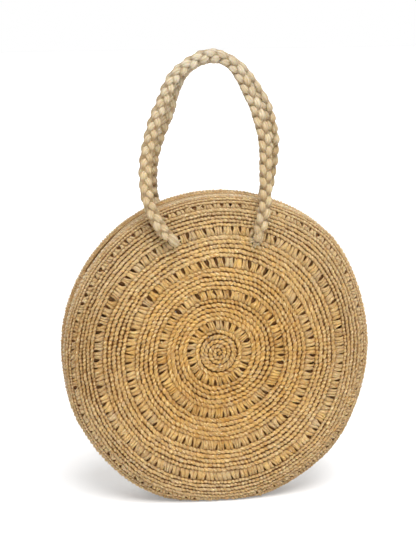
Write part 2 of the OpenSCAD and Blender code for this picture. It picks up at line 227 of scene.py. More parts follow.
def moulded_coil(name, light, dark):
    """Smooth nylon, a little uneven in colour and gloss"""
    finish = Finish(name)
    speck = finish.noise(finish.vector("fibre"), 0.35)
    return finish.close(Base_Color=finish.mix(speck, dark, light),
                        Roughness=finish.clamp(0.3 + 0.3 * speck, 0.3, 0.6),
                        Normal=finish.bump(speck, 0.2, 0.0002))


def satin_brass(name, light, worn):
    """Brass brushed across the zip, duller where it is worn"""
    finish = Finish(name)
    place = finish.add("ShaderNodeTexCoord", output="Object")
    brushed = finish.noise(finish.stretch(place, (900.0, 120.0, 900.0)), 1.0)
    wear = finish.noise(place, 160.0, 3.0)
    colour = finish.mix(finish.clamp(1.6 * (wear - 0.25), 0.0, 1.0), worn, light)
    return finish.close(Base_Color=colour, Metallic=1.0,
                        Roughness=finish.clamp(0.22 + 0.25 * wear, 0.2, 0.6),
                        Normal=finish.bump(brushed, 0.15, 0.0001))


GOLDEN = raffia("golden_raffia", streaks=0.75, relief=0.9,
                straw=(0.75, 0.485, 0.155), rosy=(0.56, 0.42, 0.232),
                deep=(0.30, 0.125, 0.008), dull=(0.27, 0.14, 0.032),
                crease=(0.10, 0.026, 0.001), bleached_and_sheen=(0.95, 0.78, 0.46))
PALE_GOLDEN = raffia("pale_golden_raffia",
                     straw=(0.62, 0.50, 0.31), rosy=(0.58, 0.46, 0.30),
                     deep=(0.30, 0.185, 0.075), dull=(0.30, 0.185, 0.075),
                     crease=(0.15, 0.07, 0.02), bleached_and_sheen=(0.82, 0.70, 0.46))
CREAM = raffia("cream_raffia", relief=0.6,
               straw=(0.495, 0.385, 0.225), rosy=(0.575, 0.51, 0.385),
               deep=(0.31, 0.20, 0.085), dull=(0.33, 0.24, 0.13),
               crease=(0.18, 0.095, 0.03), bleached_and_sheen=(0.82, 0.75, 0.58))
TAPE = woven_tape("zip_tape_weave", light=(0.57, 0.42, 0.25), dark=(0.36, 0.24, 0.13))
COIL = moulded_coil("zip_coil_plastic", light=(0.60, 0.45, 0.25), dark=(0.46, 0.33, 0.17))
BRASS = satin_brass("satin_brass", light=(0.78, 0.60, 0.30), worn=(0.50, 0.35, 0.14))


class Weave:
    """Collects tubes of raffia and makes one mesh of them"""

    def __init__(self):
        self.points, self.quads, self.fibre = [], [], []
        self.values = {"tint": [], "hue": [], "crease": []}
        self.count = 0

    def tube(self, rings, fibre, tint, crease, closed=False, hue=0.4):
        """Rings of points joined one to the next; closed also joins the last ring to the first"""
        rows, sides = rings.shape[:2]
        index = np.arange(rows * sides).reshape(rows, sides)
        after = np.roll(index, -1, 0) if closed else index[1:]
        here = index if closed else index[:-1]
        quads = np.stack([here, np.roll(here, -1, 1), np.roll(after, -1, 1), after], -1).reshape(-1, 4)
        points = rings.reshape(-1, 3)
        # Faces that look inwards are turned round
        corners = points[quads] - points.mean(0)
        normals = np.cross(corners[:, 1] - corners[:, 0], corners[:, 3] - corners[:, 0])
        if np.sum(corners[:, 0] * normals) < 0:
            quads = quads[:, ::-1]
        self.points.append(points)
        self.quads.append(quads + self.count)
        self.fibre.append(np.broadcast_to(fibre, rings.shape).reshape(-1, 3))
        # Each point's tint, which at places carries painted light and shade, its hue, and its share of
        # painted crease shade
        for key, value in (("tint", tint), ("hue", hue), ("crease", crease)):
            self.values[key].append(np.broadcast_to(value, (rows, sides)).ravel())
        self.count += rows * sides

    def piece(self, name, material, slot, body, *nodes):
        """Makes the mesh, which rides on a body and stands for the nodes"""
        points = np.concatenate(self.points) * MM
        quads = np.concatenate(self.quads)
        mesh = bpy.data.meshes.new(name)
        mesh.vertices.add(len(points))
        mesh.vertices.foreach_set("co", points.astype(np.float32).ravel())
        mesh.loops.add(quads.size)
        mesh.loops.foreach_set("vertex_index", quads.astype(np.int32).ravel())
        mesh.polygons.add(len(quads))
        mesh.polygons.foreach_set("loop_start", np.arange(0, quads.size, 4, dtype=np.int32))
        mesh.polygons.foreach_set("use_smooth", np.ones(len(quads), bool))
        mesh.update(calc_edges=True)
        layer = mesh.attributes.new("fibre", "FLOAT_VECTOR", "POINT")
        layer.data.foreach_set("vector", np.concatenate(self.fibre).astype(np.float32).ravel())
        for key, values in self.values.items():
            layer = mesh.attributes.new(key, "FLOAT", "POINT")
            layer.data.foreach_set("value", np.concatenate(values).astype(np.float32))
        mesh.materials.append(material)
        piece = bpy.data.objects.new(name, mesh)
        bpy.context.scene.collection.objects.link(piece)
        if nodes:
            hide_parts(*nodes)
        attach(piece, body)


def unit(vectors):
    """Vectors scaled to a length of one"""
    return vectors / np.maximum(np.linalg.norm(vectors, axis=-1, keepdims=True), 1e-9)


def lengths_along(points):
    """Length of a line as far as each of its points"""
    steps = np.linalg.norm(np.diff(points, axis=0), axis=1)
    return np.concatenate([[0.0], np.cumsum(steps)])


def eased(share):
    """A share from 0 to 1 that starts and ends gently"""
    return share * share * (3 - 2 * share)


def slow_noise(count, stretch, closed=True, draw=None):
    """Smooth random line of unit spread, with about one swing every so many samples"""
    draw = draw or rng
    knots = max(4, int(count / stretch))
    values = draw.standard_normal(knots)
    places = np.arange(count) * knots / count
    low = places.astype(int)
    share = eased(places - low)
    after = (low + 1) % knots if closed else np.minimum(low + 1, knots - 1)
    return values[low % knots] * (1 - share) + values[after] * share


def new_leaf(choice=900):
    """Where a strand's grain starts, so that no two strands share one"""
    return rng.uniform(0, choice)


def leaf_places(along, aside, above):
    """The leaf's own coordinates at each point of a tube, which its fibres follow"""
    return np.stack(np.broadcast_arrays(along, aside, above), -1)


def even_corners(count):
    """Angles of a regular section, as one row"""
    return np.linspace(0, 2 * math.pi, count, endpoint=False)[None, :]


def rings_round(points, aside, above, wide, tall):
    """Rings round a line, from how far each corner lies along the line's two cross directions"""
    centres = points[..., None, :] + aside[..., None, :] * wide[..., None]
    return centres + above[..., None, :] * tall[..., None]


def plain_tube(weave, points, radius, sides, tint=0.5, crease=0.0, hue=0.4):
    """A round cord or leaf end along a line"""
    tangent = unit(np.gradient(points, axis=0))
    # Any direction will do that no line here runs along
    aside = unit(np.cross(tangent, [0.31, 0.9, 0.29]))
    above = np.cross(aside, tangent)
    corner = even_corners(sides)
    radius = np.broadcast_to(radius, len(points))[:, None]
    wide, tall = radius * np.cos(corner), radius * np.sin(corner)
    fibre = leaf_places(lengths_along(points)[:, None] + new_leaf(), wide, tall)
    weave.tube(rings_round(points, aside, above, wide, tall), fibre, tint, crease, hue=hue)


# The fabric's surface: turns round the rim's ellipse, and the length of fabric as far as each
EDGE_TURNS = np.linspace(0, math.pi / 2, 200)
EDGE_STEPS = np.hypot(EDGE_REACH * np.cos(EDGE_TURNS), SHOULDER * np.sin(EDGE_TURNS))
EDGE_LENGTHS = np.cumsum((EDGE_STEPS[1:] + EDGE_STEPS[:-1]) / 2 * EDGE_TURNS[1])
EDGE_ARCS = FLAT_REACH + np.concatenate([[0], EDGE_LENGTHS])
# No circle on the fabric counts as smaller than this radius
TIGHTEST = 2.0


def meridian(along):
    """Distance from the axis and depth before the middle plane, at a length of fabric from the centre"""
    arc = np.interp(along, [0, STRETCHED_TO[0], FACE_LENGTH], [0, STRETCHED_TO[1], EDGE_ARCS[-1]])
    turn = np.interp(arc, EDGE_ARCS, EDGE_TURNS)
    out = np.minimum(arc, FLAT_REACH) + EDGE_REACH * np.sin(turn)
    swell = CROWN * (1 - np.minimum(out / FLAT_REACH, 1) ** 2)
    depth = HALF_SIDE + SHOULDER * np.cos(turn) + swell - np.maximum(0, along - FACE_LENGTH)
    lean_out, lean_front = SHOULDER * np.sin(turn), EDGE_REACH * np.cos(turn)
    size = np.hypot(lean_out, lean_front)
    return out - FABRIC / 2 * lean_out / size, depth - FABRIC / 2 * lean_front / size


def outline_swell(angle):
    """Size of the real outline as a share of a circle's"""
    waves = sum(height * np.cos(count * angle + start) for count, height, start in OUTLINE_WAVES)
    for middle, spread, height in LOCAL_SWELLS:
        away = (np.degrees(angle) - middle + 180) % 360 - 180
        waves = waves + height * np.exp(-(away / spread) ** 2)
    return 1 + waves / BAG_RADIUS


# Soft dents and swells of each face: across, up, radius, depth
DENTS = {
    "front": ((112, 82, 24, -3.6), (-60, -95, 60, 1.6), (70, -60, 70, -1.4),
              (-95, 60, 50, 1.2), (10, 120, 45, -1.2)),
    "back": ((-80, 70, 40, -2.2), (60, -70, 60, 1.6), (20, 40, 55, -1.3)),
}
# How far the spiral sits off the centre of the rings, and how far out that reaches: across, then up
OFF_CENTRE = {"front": ((-2.9, 52), (2.4, 86)), "back": ((1.5, 52), (1.0, 80))}


def fabric_point(along, angle, side):
    """Middle of the fabric's thickness"""
    along, angle = np.broadcast_arrays(along, angle)
    out, depth = meridian(along)
    blend = np.clip(out / BAG_RADIUS, 0, 1) ** 3
    reach = out * (1 + blend * (outline_swell(angle) - 1))
    across, up = reach * np.cos(angle), reach * np.sin(angle)
    for x, z, radius, height in DENTS[side]:
        dent = height * np.exp(-((across - x) ** 2 + (up - z) ** 2) / radius ** 2)
        depth = depth + dent * np.clip(depth / HALF_EDGE, 0, 1)
    (aside, aside_to), (above, above_to) = OFF_CENTRE[side]
    sag = SAG * (-up / SAG_REACH).clip(0, 1.1) ** 1.5
    across = across * WIDE_SHARE + aside * np.exp(-(out / aside_to) ** 4)
    up = up * TALL_SHARE + above * np.exp(-(out / above_to) ** 4) - sag
    # The floor holds the lowest rows up
    height = up + MIDDLE_HEIGHT - FLOOR_LIFT
    height = FLOOR_LIFT + FLOOR_SOFTNESS * np.logaddexp(0, height / FLOOR_SOFTNESS)
    return np.stack([across, SIDES[side] * depth, height], -1)


def fabric_frame(along, angle, side):
    """Point on the fabric with its outward-going and its standing direction"""
    step = 0.6
    here = fabric_point(along, angle, side)
    outward = unit(fabric_point(along + step, angle, side) - fabric_point(along - step, angle, side))
    turn = step / np.maximum(meridian(np.asarray(along, float))[0], TIGHTEST)
    circling = unit(fabric_point(along, angle + turn, side) - fabric_point(along, angle - turn, side))
    standing = unit(np.cross(circling, outward)) * SIDES[side]
    return here, outward, standing


# Waves of a row: height, number round the bag, length of fabric over which they turn by a radian, and start
ROW_WAVES = ((0.8, 3, 37, 0), (0.5, 5, -21, 1), (0.35, 8, 15, 0), (0.22, 17, -9, 0), (0.18, 29, 5, 0))


def drift(along, angle):
    """Wander of a row from its true circle, none at the spiral's centre and none at the rim"""
    grow = np.clip(along / 60.0, 0, 1) * np.clip((FACE_REACH + 12 - along) / 20, 0, 1)
    return grow * sum(height * np.sin(count * angle + along / turning + start)
                      for height, count, turning, start in ROW_WAVES)


# Broad patches that lighten or darken a face, among them painted shade on its left side, which turns from
# the light: across, up, radius, tone
SHADES = ((-172, 0, 62, -0.22), (176, -10, 50, -0.09), (84, 4, 42, -0.14), (-70, 10, 34, -0.05),
          (-110, 92, 50, 0.06), (0, 160, 60, 0.08), (0, -95, 60, -0.13), (0, -172, 46, 0.07),
          (0, 0, 62, -0.28), (0, 0, 34, 0.27))
# Painted shade on the side band's left, which turns from the light: how much darker it is there, fading to
# none on the right
SIDE_BAND_SHADE = 0.25
# The leaf turns rosier and darker towards the rim, partly its own colour and partly painted shade: by how
# much there, and with which power of the radius
RIM_ROSE, ROSE_POWER = 0.95, 2.4


def face_tone(along, angle):
    """Lightness over a face: waves of the leaf's own tone, broad patches, and painted shade at its rim and
    on the side band's left
    """
    across, up = along * np.cos(angle), along * np.sin(angle)
    tone = 0.03 * np.sin(2 * angle + along / 30) + 0.03 * np.sin(5 * angle - along / 18)
    tone = tone - 0.06 * (along / BAG_RADIUS) ** 4
    for x, z, radius, shade in SHADES:
        tone = tone + shade * np.exp(-((across - x) ** 2 + (up - z) ** 2) / radius ** 2)
    on_band = np.clip((along - FACE_LENGTH - 3) / 3, 0, 1)
    return tone - SIDE_BAND_SHADE * on_band * np.clip(0.2 - np.cos(angle), 0, 1)


def rosiness(out):
    """How much the hue leans to rose at a distance from the axis"""
    return RIM_ROSE * (out / BAG_RADIUS) ** ROSE_POWER


# Stitches: each one a slanted, overlapping bead of leaf, with points at these shares of its run and places
# across it
STITCH_SLANT = math.radians(30)
STITCH_SHARES = np.array([0.0, 0.13, 0.37, 0.63, 0.87])
STITCH_ACROSS = np.array([-3.0, -2.4, -1.6, -0.6, 0.6, 1.6, 2.4, 3.0])
# Back of a row: how far behind the fabric's middle, and its places across
STITCH_BACK = 1.9
STITCH_BACK_ACROSS = np.array([2.1, 0.0, -2.1])
# Spread of the stitches' run, length, height, side step, tint and hue
RUN_SPREAD, LONG_SPREAD, FAT_SPREAD, SIDE_STEP = 0.13, 0.15, 0.13, 0.35
TINT_SPREAD, HUE_MEAN, HUE_SPREAD = 0.07, 0.2, 0.14
# Light on a bead's top: how fast it grows with height, and the height that has none
TOP_LIGHT, TOP_FROM = 0.38, 0.75
# Painted shade in a crease: how fast it grows as the beads get lower, and the height below which it starts
CREASE_SHARPNESS, CREASE_FROM = 2.5, 0.67
# Tint, painted crease shade and hue of a row's back
BACK_TINT, BACK_CREASE, BACK_HUE = 0.45, 0.35, 0.4


def bead_relief(number, share, across, count, closed, pitch, lean, long, short, knobs):
    """Height of a row's beads from 0 to about 1, which bead each point is on, and the row's shear"""
    longs = long * (1 + LONG_SPREAD * slow_noise(count, 14, closed)).clip(0.76, 1.4)
    # A bead is an ellipse that leans: the factors of run squared, of run times width, and of width squared
    run_run = math.cos(lean) ** 2 / longs ** 2 + math.sin(lean) ** 2 / short ** 2
    run_wide = math.sin(lean) * math.cos(lean) * (1 / longs ** 2 - 1 / short ** 2)
    wide_wide = math.sin(lean) ** 2 / longs ** 2 + math.cos(lean) ** 2 / short ** 2
    shear = -np.median(run_wide / run_run)
    fat = (1 + FAT_SPREAD * knobs * rng.standard_normal(count)).clip(0.7, 1.3)
    shift = SIDE_STEP * knobs * rng.standard_normal(count)
    best = np.full((len(number), len(across)), -1.0)
    owner = np.zeros(best.shape, int)
    for step in (-1, 0, 1):
        bead = (number + step) % count if closed else np.clip(number + step, 0, count - 1)
        run = ((share - 0.5 - step) * pitch)[:, None] + shear * across
        wide = across - shift[bead][:, None]
        near = (run_run[bead][:, None] * run * run + 2 * run_wide[bead][:, None] * run * wide
                + wide_wide[bead][:, None] * wide * wide)
        swell = np.sqrt((1 - near).clip(0)) * fat[bead][:, None]
        owner = np.where(swell > best, bead[:, None], owner)
        best = np.maximum(best, swell)
    return best, owner, shear


def stitched_row(weave, along, side, pitch=5.2, start=0.0, stop=2 * math.pi, long=4.1, short=2.7, thick=2.3,
                 sink=1.5, tint=0.55, width=1.0, lift=0.0, crease=1.0, knobs=1.0, bead_pitch=None):
    """A row of crochet stitches laid on the fabric, from one angle to another"""
    count = round(float(meridian(np.array(along))[0]) * (stop - start) / pitch)
    closed = abs(stop - start - 2 * math.pi) < 1e-6
    sizes = 1 + RUN_SPREAD * rng.standard_normal(count).clip(-2, 2)
    edges = start + (stop - start) * np.concatenate([[0], np.cumsum(sizes)]) / sizes.sum()
    share = np.tile(STITCH_SHARES, count)
    number = np.repeat(np.arange(count), len(STITCH_SHARES))
    angle = edges[number] + share * np.diff(edges)[number]
    if not closed:
        share, number, angle = np.append(share, 1.0), np.append(number, count - 1), np.append(angle, stop)
    place = along + drift(along, angle)
    out = np.maximum(meridian(place)[0], TIGHTEST)
    pitch = bead_pitch or np.median(out) * (stop - start) / count
    lean = STITCH_SLANT * -SIDES[side]
    across = STITCH_ACROSS * width
    best, owner, shear = bead_relief(number, share, across, count, closed, pitch, lean, long, short, knobs)

    def on_fabric(offsets, wander=0.0):
        turned = angle[:, None] + shear * offsets / out[:, None]
        return fabric_frame(place[:, None] + offsets + wander, turned, side)

    face, _, rising = on_fabric(across, 0.12 * slow_noise(len(angle), 11, closed)[:, None])
    behind, _, behind_rising = on_fabric(STITCH_BACK_ACROSS * width)
    height = lift - sink + (thick + sink) * best
    rings = np.concatenate([face + rising * height[..., None], behind - behind_rising * STITCH_BACK], 1)
    local = (share - 0.5)[:, None] * pitch + shear * across
    run = (angle * out)[:, None] + new_leaf(500)
    fibre = leaf_places(run + shear * across, across * math.cos(lean) - local * math.sin(lean), 2 * best)
    fibre = np.concatenate([fibre, fibre[:, [6, 3, 1]] + [0, 0, 9.0]], 1)
    tints = rng.normal(0, TINT_SPREAD, count)
    hues = rng.normal(HUE_MEAN, HUE_SPREAD, count)
    tone = tint + tints[owner] + face_tone(place, angle)[:, None] + TOP_LIGHT * (best - TOP_FROM)
    # Painted shade in the creases between beads, deeper as the beads get lower
    dark = crease * np.clip(CREASE_SHARPNESS * (CREASE_FROM - best), 0, 1)
    hue = hues[owner] + rosiness(out)[:, None]

    def with_back(values, value):
        return np.concatenate([values, np.full((len(angle), len(STITCH_BACK_ACROSS)), value)], 1)

    weave.tube(rings, fibre, with_back(tone, BACK_TINT), with_back(dark, BACK_CREASE), closed,
               with_back(hue, BACK_HUE))


def spiral_centre(side):
    """Five turns wound from the middle of the face"""
    weave = Weave()
    stitched_row(weave, CENTRE_ROWS * ROW_HEIGHT - 1.0, side, pitch=6.2, long=5.2, thick=2.1, width=1.15,
                 tint=0.5)
    lay_spiral(weave, side, CENTRE_ROWS + 0.15)
    weave.piece(side + "_spiral_centre", GOLDEN, "bag_raffia", "bag", side + "_face")


# The spiral's stitches: how many, samples to each, half their width and thickness, and their section
SPIRAL_STITCHES, SPIRAL_SAMPLES = 72, 10
SPIRAL_HALF_WIDTH, SPIRAL_HALF_THICKNESS = 3.0, 2.35
SPIRAL_CORNERS = np.radians([0, 24, 52, 78, 102, 128, 156, 180, 225, 270, 315])[None, :]


def lay_spiral(weave, side, turns):
    """Smooth, long stitches wound round and round"""
    corner = SPIRAL_CORNERS
    # Even steps of length along the spiral
    sweep = turns * np.sqrt(np.linspace(0.004, 1, SPIRAL_STITCHES * SPIRAL_SAMPLES))
    angle = 2 * math.pi * sweep * -SIDES[side] + 1.1
    along = ROW_HEIGHT * (sweep - 0.47).clip(0.05, CENTRE_ROWS - 1.3)
    along = along + 0.12 * slow_noise(len(sweep), 13, False)
    points, outward, standing = fabric_frame(along, angle, side)
    phase = np.linspace(0, SPIRAL_STITCHES, len(sweep)) + 0.12 * slow_noise(len(sweep), 25, False)
    # Each stitch starts earlier on its outer edge, which slants it
    slope = phase[:, None] * 2 * math.pi + 2.2 * np.cos(corner)
    bulge = 0.5 + 0.5 * np.cos(slope)
    fat = 1 - 0.30 * (1 - bulge ** 0.6) * (np.sin(corner) > -0.1)
    fat = fat + 0.03 * slow_noise(len(sweep), 7, False)[:, None]
    size = np.clip(0.62 + sweep / 4, 0.62, 1.0)[:, None] * fat
    rings = rings_round(points, outward, standing, SPIRAL_HALF_WIDTH * size * np.cos(corner),
                        SPIRAL_HALF_THICKNESS * size * np.sin(corner))
    run = lengths_along(points)[:, None]
    fibre = leaf_places(run - 3 * np.cos(corner), 3 * np.cos(corner), 2.3 * np.sin(corner))
    # Beads are counted from here, because the slant takes some of them before the first stitch
    first = 5
    bead = np.floor(slope / (2 * math.pi)).astype(int) + first
    tints = rng.normal(0, 0.11, SPIRAL_STITCHES + 4 * first)
    hues = rng.normal(0.35, 0.3, SPIRAL_STITCHES + 4 * first)
    # Painted shade at the stitches' edges, between the stitches and on their underside
    crease = 0.9 * np.abs(np.cos(corner)) ** 8 + 0.55 * (1 - bulge ** 0.4) + (np.sin(corner) < -0.3)
    weave.tube(rings, fibre, 0.52 + tints[bead], np.clip(crease, 0, 0.85), hue=hues[bead])


# Shares of a leg's length at which it has a section, the section's corners, and a hexagon for thin strands
LEG_SHARES = np.array([0.0, 0.12, 0.28, 0.46, 0.64, 0.82, 0.93, 1.0])
LEG_CORNERS = np.radians([0, 28, 60, 90, 120, 152, 180, 225, 270, 315])[None, :]
HEXAGON = np.radians(np.arange(0, 360, 60))[None, :]
# Shares of the clusters that have a strand across them, and of the gaps that show one behind
CROSSED_SHARE, BACKED_SHARE = 0.45, 0.93
# Strand behind a gap: how far behind the fabric's middle, half its width and half its thickness
BEHIND, BEHIND_HALF_WIDTH, BEHIND_HALF_THICKNESS = 2.2, 2.6, 0.8
# Strand across a cluster
CROSS_HALF_WIDTH, CROSS_HALF_THICKNESS = 0.8, 0.5


def leg(weave, side, low, high, left, right, thick, tint, hue, rise):
    """One leg of a cluster, out from one row to the next; left and right give its edges' angles"""
    share, corner = LEG_SHARES, LEG_CORNERS
    along = low + (high - low) * share
    out = meridian(along)[0]
    bow = np.sin(math.pi * share)
    west, east = left(share), right(share)
    angle, half = (west + east) / 2, ((east - west) / 2 * out)[:, None]
    points, outward, standing = fabric_frame(along, angle, side)
    across = unit(np.cross(outward, standing))
    points = points + standing * ((rise + 0.9) * bow ** 0.6 + rng.normal(0, 0.2) - 1.5)[:, None]
    start = rng.uniform(0, 6.28)
    folds = 1 + 0.08 * np.cos(5 * corner + start + 0.8 * share[:, None]) + 0.05 * np.cos(9 * corner - start)
    folds = folds * (1 - 0.2 * share ** 5 + 0.08 * bow)[:, None]
    wide = 1.1 * half * folds * np.cos(corner)
    tall = thick * (0.85 + 0.2 * bow)[:, None] * folds * np.sin(corner)
    rings = rings_round(points, across, standing, wide, tall)
    fibre = leaf_places(along[:, None] + new_leaf(), 2.2 * half * np.cos(corner), thick * np.sin(corner))
    # Painted shade at the leg's ends, along its sides and on its underside
    ends = np.abs(2 * share - 1)[:, None] ** 4
    crease = 0.55 * ends + 0.5 * np.abs(np.cos(corner)) ** 5 + 0.7 * (np.sin(corner) < -0.3)
    weave.tube(rings, fibre, tint + rng.normal(0, 0.09), np.clip(crease, 0, 0.85),
               hue=hue + rng.normal(0, 0.08))


def strand_behind(weave, side, low, high, angle):
    """The leg of a stitch on the inside of the bag, painted dark as shade so that it shows dark through a
    gap
    """
    share = np.linspace(0, 1, 6)
    angles = angle + rng.normal(0, 0.006) * share
    points, outward, standing = fabric_frame(low + (high - low) * share, angles, side)
    across = unit(np.cross(outward, standing))
    wide = BEHIND_HALF_WIDTH * np.cos(HEXAGON)
    rings = rings_round(points - standing * BEHIND, across, standing, wide,
                        BEHIND_HALF_THICKNESS * np.sin(HEXAGON))
    fibre = leaf_places((high - low) * share[:, None] + new_leaf(), wide, np.sin(HEXAGON))
    weave.tube(rings, fibre, tint=0.3, crease=0.78)


def cross_strand(weave, side, along, west, east, tint, hue):
    """A strand laid slantwise over a cluster where the hook pulled it through"""
    share = np.linspace(0, 1, 7)
    climb = rng.choice([-1, 1]) * rng.uniform(1.2, 2.6)
    angles = west + (east - west) * (0.06 + 0.88 * share)
    points, _, standing = fabric_frame(along + climb * (2 * share - 1), angles, side)
    across = unit(np.cross(unit(np.gradient(points, axis=0)), standing))
    rise = 2.0 - 1.2 * np.abs(2 * share - 1) ** 3
    rings = rings_round(points + standing * rise[:, None], across, standing,
                        CROSS_HALF_WIDTH * np.cos(HEXAGON), CROSS_HALF_THICKNESS * np.sin(HEXAGON))
    fibre = leaf_places(6 * share[:, None] + new_leaf(), np.cos(HEXAGON), np.sin(HEXAGON))
    # Painted shade on the strand's underside
    weave.tube(rings, fibre, tint, crease=0.4 * (np.sin(HEXAGON) < 0.2), hue=hue)


def draw_gaps(count, out, side, rim):
    """Gaps of a round: each one's angle, its width at the inner and the outer end, and its lean"""
    gaps = []
    for index in range(count):
        angle = 2 * math.pi * (index + 0.5) / count
        above = math.sin(angle)
        narrow, wide = rng.normal(-0.7, 0.5), np.clip(rng.normal(3.0, 1.25), 0.3, 5.2)
        wide = wide * (0.84 + 0.16 * above)
        if rim:
            narrow, wide = max(0.0, above) - 1.0, wide * (1.1 - 0.05 * above)
        centre = angle + rng.normal(0, 0.45) / out
        gaps.append((centre, narrow, wide, rng.normal(0.9 * -SIDES[side], 0.8)))
    return gaps


def gap_edge(gaps, index, hand, out):
    """One edge of a gap: the angle at each share of the round's height"""
    centre, narrow, wide, lean = gaps[index % len(gaps)]
    centre = centre + (2 * math.pi if index >= len(gaps) else 0)
    bulge, starts = rng.normal(0.2, 0.1), rng.uniform(0.1, 0.35)

    def at(share):
        spread = np.clip((share - starts) / 0.3, 0, 1) * np.clip((1.06 - share) / 0.2, 0, 1)
        opening = narrow + (wide - narrow) * spread ** 0.7 + bulge * np.sin(math.pi * share)
        return centre + (lean * (share - 0.5) * 2 + hand * opening / 2) / out
    return at


def part_way(west, east, inner, outer):
    """A line between two edges, at one share of the way at its inner end and another at its outer end"""
    return lambda share: west(share) + (inner + (outer - inner) * share) * (east(share) - west(share))


def cluster(weave, side, low, high, west, east, tone, rosy, rise):
    """A fan of two or three legs between two gaps, at times with a strand across it"""
    legs = rng.choice([2, 2, 2, 3])
    tint = 0.66 + rng.normal(0, 0.07) + tone
    hue = rng.normal(0.2, 0.2) + rosy
    inner, outer = (np.cumsum(np.concatenate([[0], rng.uniform(0.45, 1.4, legs)])) for _ in range(2))
    inner, outer = inner / inner[-1], outer / outer[-1]
    cuts = [part_way(west, east, *shares) for shares in zip(inner, outer)]
    for number in range(legs):
        # Legs at a cluster's sides lie lower
        aside = abs(inner[number] + inner[number + 1] - 1)
        leg(weave, side, low, high, cuts[number], cuts[number + 1], rng.normal(2.1, 0.3), tint, hue,
            rise - 1.2 * aside ** 2)
    if rng.random() < CROSSED_SHARE:
        place = low + (high - low) * rng.uniform(0.3, 0.8)
        cross_strand(weave, side, place, west(0.5), east(0.5), tint + 0.08, hue)


def openwork(row, side):
    """A round of clusters with gaps between them"""
    weave = Weave()
    rim = row == OPENWORK_ROWS - 1
    loss = RIM_HEIGHT_LOSS if rim else 0
    middle = FIRST_OPENWORK + row * OPENWORK_PITCH - loss / 2
    reach = (OPENWORK_HEIGHT - loss) / 2 + 0.7
    out = float(meridian(np.array(middle))[0])
    count = round(2 * math.pi * out / (CLUSTER_PITCH + row * CLUSTER_GROWTH))
    gaps = draw_gaps(count, out, side, rim)
    for index in range(count):
        angle = 2 * math.pi * (index + 1) / count
        wander = float(drift(middle, np.array(angle)))
        low, high = middle - reach + wander, middle + reach + wander
        west, east = gap_edge(gaps, index, 1, out), gap_edge(gaps, index + 1, -1, out)
        cluster(weave, side, low, high, west, east, float(face_tone(middle, angle)), rosiness(out),
                1.0 if rim else 1.9)
        if rng.random() < BACKED_SHARE:
            strand_behind(weave, side, low, high, gaps[index][0] + rng.normal(0, 0.3) / out)
    node = side + ("_shoulder" if middle > FACE_REACH else "_face")
    weave.piece(f"{side}_openwork_row_{row + 1}", GOLDEN, "bag_raffia", "bag", node)


def plain_rows(band, side):
    """The plain rows that follow an openwork round, rougher further out"""
    weave = Weave()
    start = FIRST_OPENWORK + band * OPENWORK_PITCH + OPENWORK_HEIGHT / 2
    last = band == OPENWORK_ROWS - 1
    if last:
        start = start - RIM_HEIGHT_LOSS
        places = [start + (step + 0.5) * (FACE_LENGTH - start) / RIM_ROWS for step in range(RIM_ROWS)]
    else:
        places = [start + (step + 0.5) * ROW_HEIGHT for step in range(PLAIN_ROWS)]
    rough = np.clip(band / 3.0, 0, 1)
    for place in places:
        if last:
            stitched_row(weave, place, side, pitch=4.0, long=3.0, thick=2.0, tint=0.58, knobs=0.7, sink=1.1)
        else:
            stitched_row(weave, place, side, pitch=6.0 - 1.3 * rough, long=4.9 - 1.1 * rough,
                         tint=0.55 + rng.normal(0, 0.03), crease=1.0 - 0.1 * rough,
                         knobs=0.7 + 0.3 * rough, sink=1.5 - 0.6 * rough)
    node = side + ("_shoulder" if start > FACE_REACH else "_face")
    weave.piece(f"{side}_plain_rows_{band + 1}", GOLDEN, "bag_raffia", "bag", node)


# Side band, joining rows and zip
ZIP_SPAN = 116.0
ZIP_FROM, ZIP_TO = math.radians(90 - ZIP_SPAN / 2), math.radians(90 + ZIP_SPAN / 2)
JOINING_WIDTH = 3.0
# Length of fabric from the spiral's centre to the middle plane
RIM_MIDDLE = FACE_LENGTH + HALF_SIDE
# Rows of the side band and the top bands, by their depth before the middle plane
OUTER_ROWS = (HALF_SIDE - JOINING_WIDTH - 2.3, HALF_SIDE - JOINING_WIDTH - 6.7)
INNER_ROW = 5.1
BAND_PITCH = 4.2
# Angle by which the side band's inner rows stop short of the zip's ends, and the middle row by twice that
ROW_SHORT = 0.008
# Beads of the side band are shaped as for wider stitches, which deepens their creases
BAND_BEAD_PITCH = 5.3


def side_band_row(weave, depth, side, short=0.0, **sizes):
    """A row from one end of the zip to the other, round under the bag"""
    stitched_row(weave, RIM_MIDDLE - depth, side, pitch=BAND_PITCH, bead_pitch=BAND_BEAD_PITCH, long=3.2,
                 start=ZIP_TO + short, stop=2 * math.pi + ZIP_FROM - short, tint=0.5, **sizes)


def side_band():
    """Three rows beside each joining row, and one in the middle"""
    weave = Weave()
    for side in SIDES:
        for depth in OUTER_ROWS:
            side_band_row(weave, depth, side, width=0.88, sink=1.0, crease=0.75)
        side_band_row(weave, INNER_ROW, side, ROW_SHORT)
    side_band_row(weave, 0.0, "front", 2 * ROW_SHORT)
    weave.piece("side_band_rows", GOLDEN, "bag_raffia", "bag", "gusset")


def top_band(side):
    """Two rows between a joining row and the zip, the one at the zip smoother and longer"""
    weave = Weave()
    for index, depth in enumerate(OUTER_ROWS):
        stitched_row(weave, RIM_MIDDLE - depth, side, pitch=BAND_PITCH, start=ZIP_FROM, stop=ZIP_TO,
                     tint=0.52 + 0.06 * index, width=0.85, long=3.3 + 0.9 * index, thick=1.9 - 0.7 * index)
    weave.piece(side + "_top_band_rows", GOLDEN, "bag_raffia", "bag", side + "_top_band")


